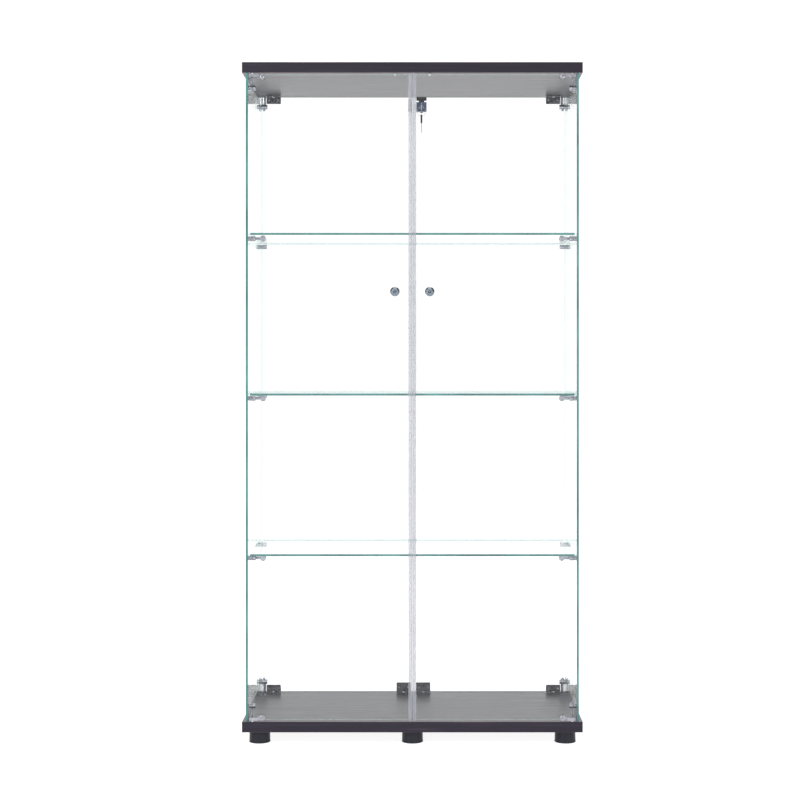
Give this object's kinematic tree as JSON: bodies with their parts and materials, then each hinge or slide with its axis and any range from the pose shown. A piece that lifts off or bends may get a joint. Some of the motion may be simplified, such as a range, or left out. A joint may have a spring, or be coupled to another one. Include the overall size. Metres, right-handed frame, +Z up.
{
  "type": "display case",
  "caption": "Floor-standing glass display case with hinged double doors, glass shelves on pegs, wood-look top and base boards, a cam lock and round feet.",
  "frame": {"origin": "on the floor, at the middle of the case's footprint with its knobs and key", "axes": "+X to the right as one faces the doors, the doors face -Y, +Z up"},
  "size_m": [0.805, 0.4042, 1.613],
  "materials": {
    "board_foil": "satin wenge-look foil",
    "edge_band": "satin wenge-look edge band",
    "foot_plastic": "black moulded plastic",
    "clear_glass": "clear tempered, polished green edges",
    "seal_strip": "frosted translucent PVC",
    "clear_pad": "clear soft PVC",
    "clip_steel": "dark zinc-plated",
    "screw_steel": "bright zinc-plated",
    "chrome_fixing": "polished chrome plate",
    "hinge_chrome": "polished chrome plate",
    "bush_plastic": "grey nylon",
    "knob_metal": "turned, brushed",
    "lock_zinc": "satin plated zinc",
    "plug_brass": "plated brass",
    "key_steel": "nickel-plated",
    "key_plastic": "black moulded plastic"
  },
  "bodies": {
    "cabinet": {"back_clip_bottom_centre_left": "clip_steel", "back_clip_bottom_centre_right": "clip_steel", "back_clip_bottom_corner_left": "clip_steel", "back_clip_bottom_corner_right": "clip_steel", "back_clip_grub_screws": "screw_steel", "back_clip_screws": "screw_steel", "back_clip_top_corner_left": "clip_steel", "back_clip_top_corner_right": "clip_steel", "back_glass_left": "clear_glass", "back_glass_right": "clear_glass", "back_shelf_pegs": "chrome_fixing", "base_board": "board_foil", "base_edge_band": "edge_band", "connector_studs": "chrome_fixing", "door_stops": "clear_pad", "feet_back": "foot_plastic", "feet_front": "foot_plastic", "fixing_caps": "chrome_fixing", "foot_screws": "screw_steel", "front_shelf_pegs": "chrome_fixing", "glass_connectors": "chrome_fixing", "pivot_bushes": "bush_plastic", "shelf_lower": "clear_glass", "shelf_middle": "clear_glass", "shelf_pads": "clear_pad", "shelf_upper": "clear_glass", "side_glass_left": "clear_glass", "side_glass_right": "clear_glass", "top_board": "board_foil", "top_edge_band": "edge_band"},
    "left_door": {"door_glass_left": "clear_glass", "door_seal_left": "seal_strip", "hinge_pins_left": "screw_steel", "hinge_screws_left": "screw_steel", "hinge_shoe_bottom_left": "hinge_chrome", "hinge_shoe_top_left": "hinge_chrome", "knob_left": "knob_metal", "knob_screw_left": "screw_steel", "knob_washer_left": "clear_pad", "lock_keeper": "lock_zinc"},
    "right_door": {"door_glass_right": "clear_glass", "door_seal_right": "seal_strip", "hinge_pins_right": "screw_steel", "hinge_screws_right": "screw_steel", "hinge_shoe_bottom_right": "hinge_chrome", "hinge_shoe_top_right": "hinge_chrome", "knob_right": "knob_metal", "knob_screw_right": "screw_steel", "knob_washer_right": "clear_pad", "lock_case": "lock_zinc", "lock_nut": "lock_zinc"},
    "lock_cam_and_key": {"cam_screw": "screw_steel", "key": "key_steel", "lock_cam": "lock_zinc", "lock_plug": "plug_brass"},
    "key_ring": {"key_ring": "key_steel"},
    "spare_key": {"spare_key_blade": "key_steel", "spare_key_head": "key_plastic"}
  },
  "joints": [
    {"name": "left_door_hinge", "type": "hinge", "parent": "cabinet", "child": "left_door", "pos_m": [-0.378, -0.16245, 0.8215], "axis": [0, 0, -1], "range_deg": [0, 110]},
    {"name": "right_door_hinge", "type": "hinge", "parent": "cabinet", "child": "right_door", "pos_m": [0.378, -0.16245, 0.8215], "axis": [0, 0, 1], "range_deg": [0, 110]},
    {"name": "key_turn", "type": "hinge", "parent": "right_door", "child": "lock_cam_and_key", "pos_m": [0.0216, -0.17755, 1.504], "axis": [0, -1, 0], "range_deg": [0, 90]},
    {"name": "key_ring_swing", "type": "hinge", "parent": "lock_cam_and_key", "child": "key_ring", "pos_m": [0.0216, -0.19355, 1.5025], "axis": [-1, 0, 0], "range_deg": [-10, 45]},
    {"name": "spare_key_swing", "type": "hinge", "parent": "key_ring", "child": "spare_key", "pos_m": [0.0216, -0.19355, 1.4817], "axis": [-1, 0, 0], "range_deg": [-10, 45]}
  ]
}
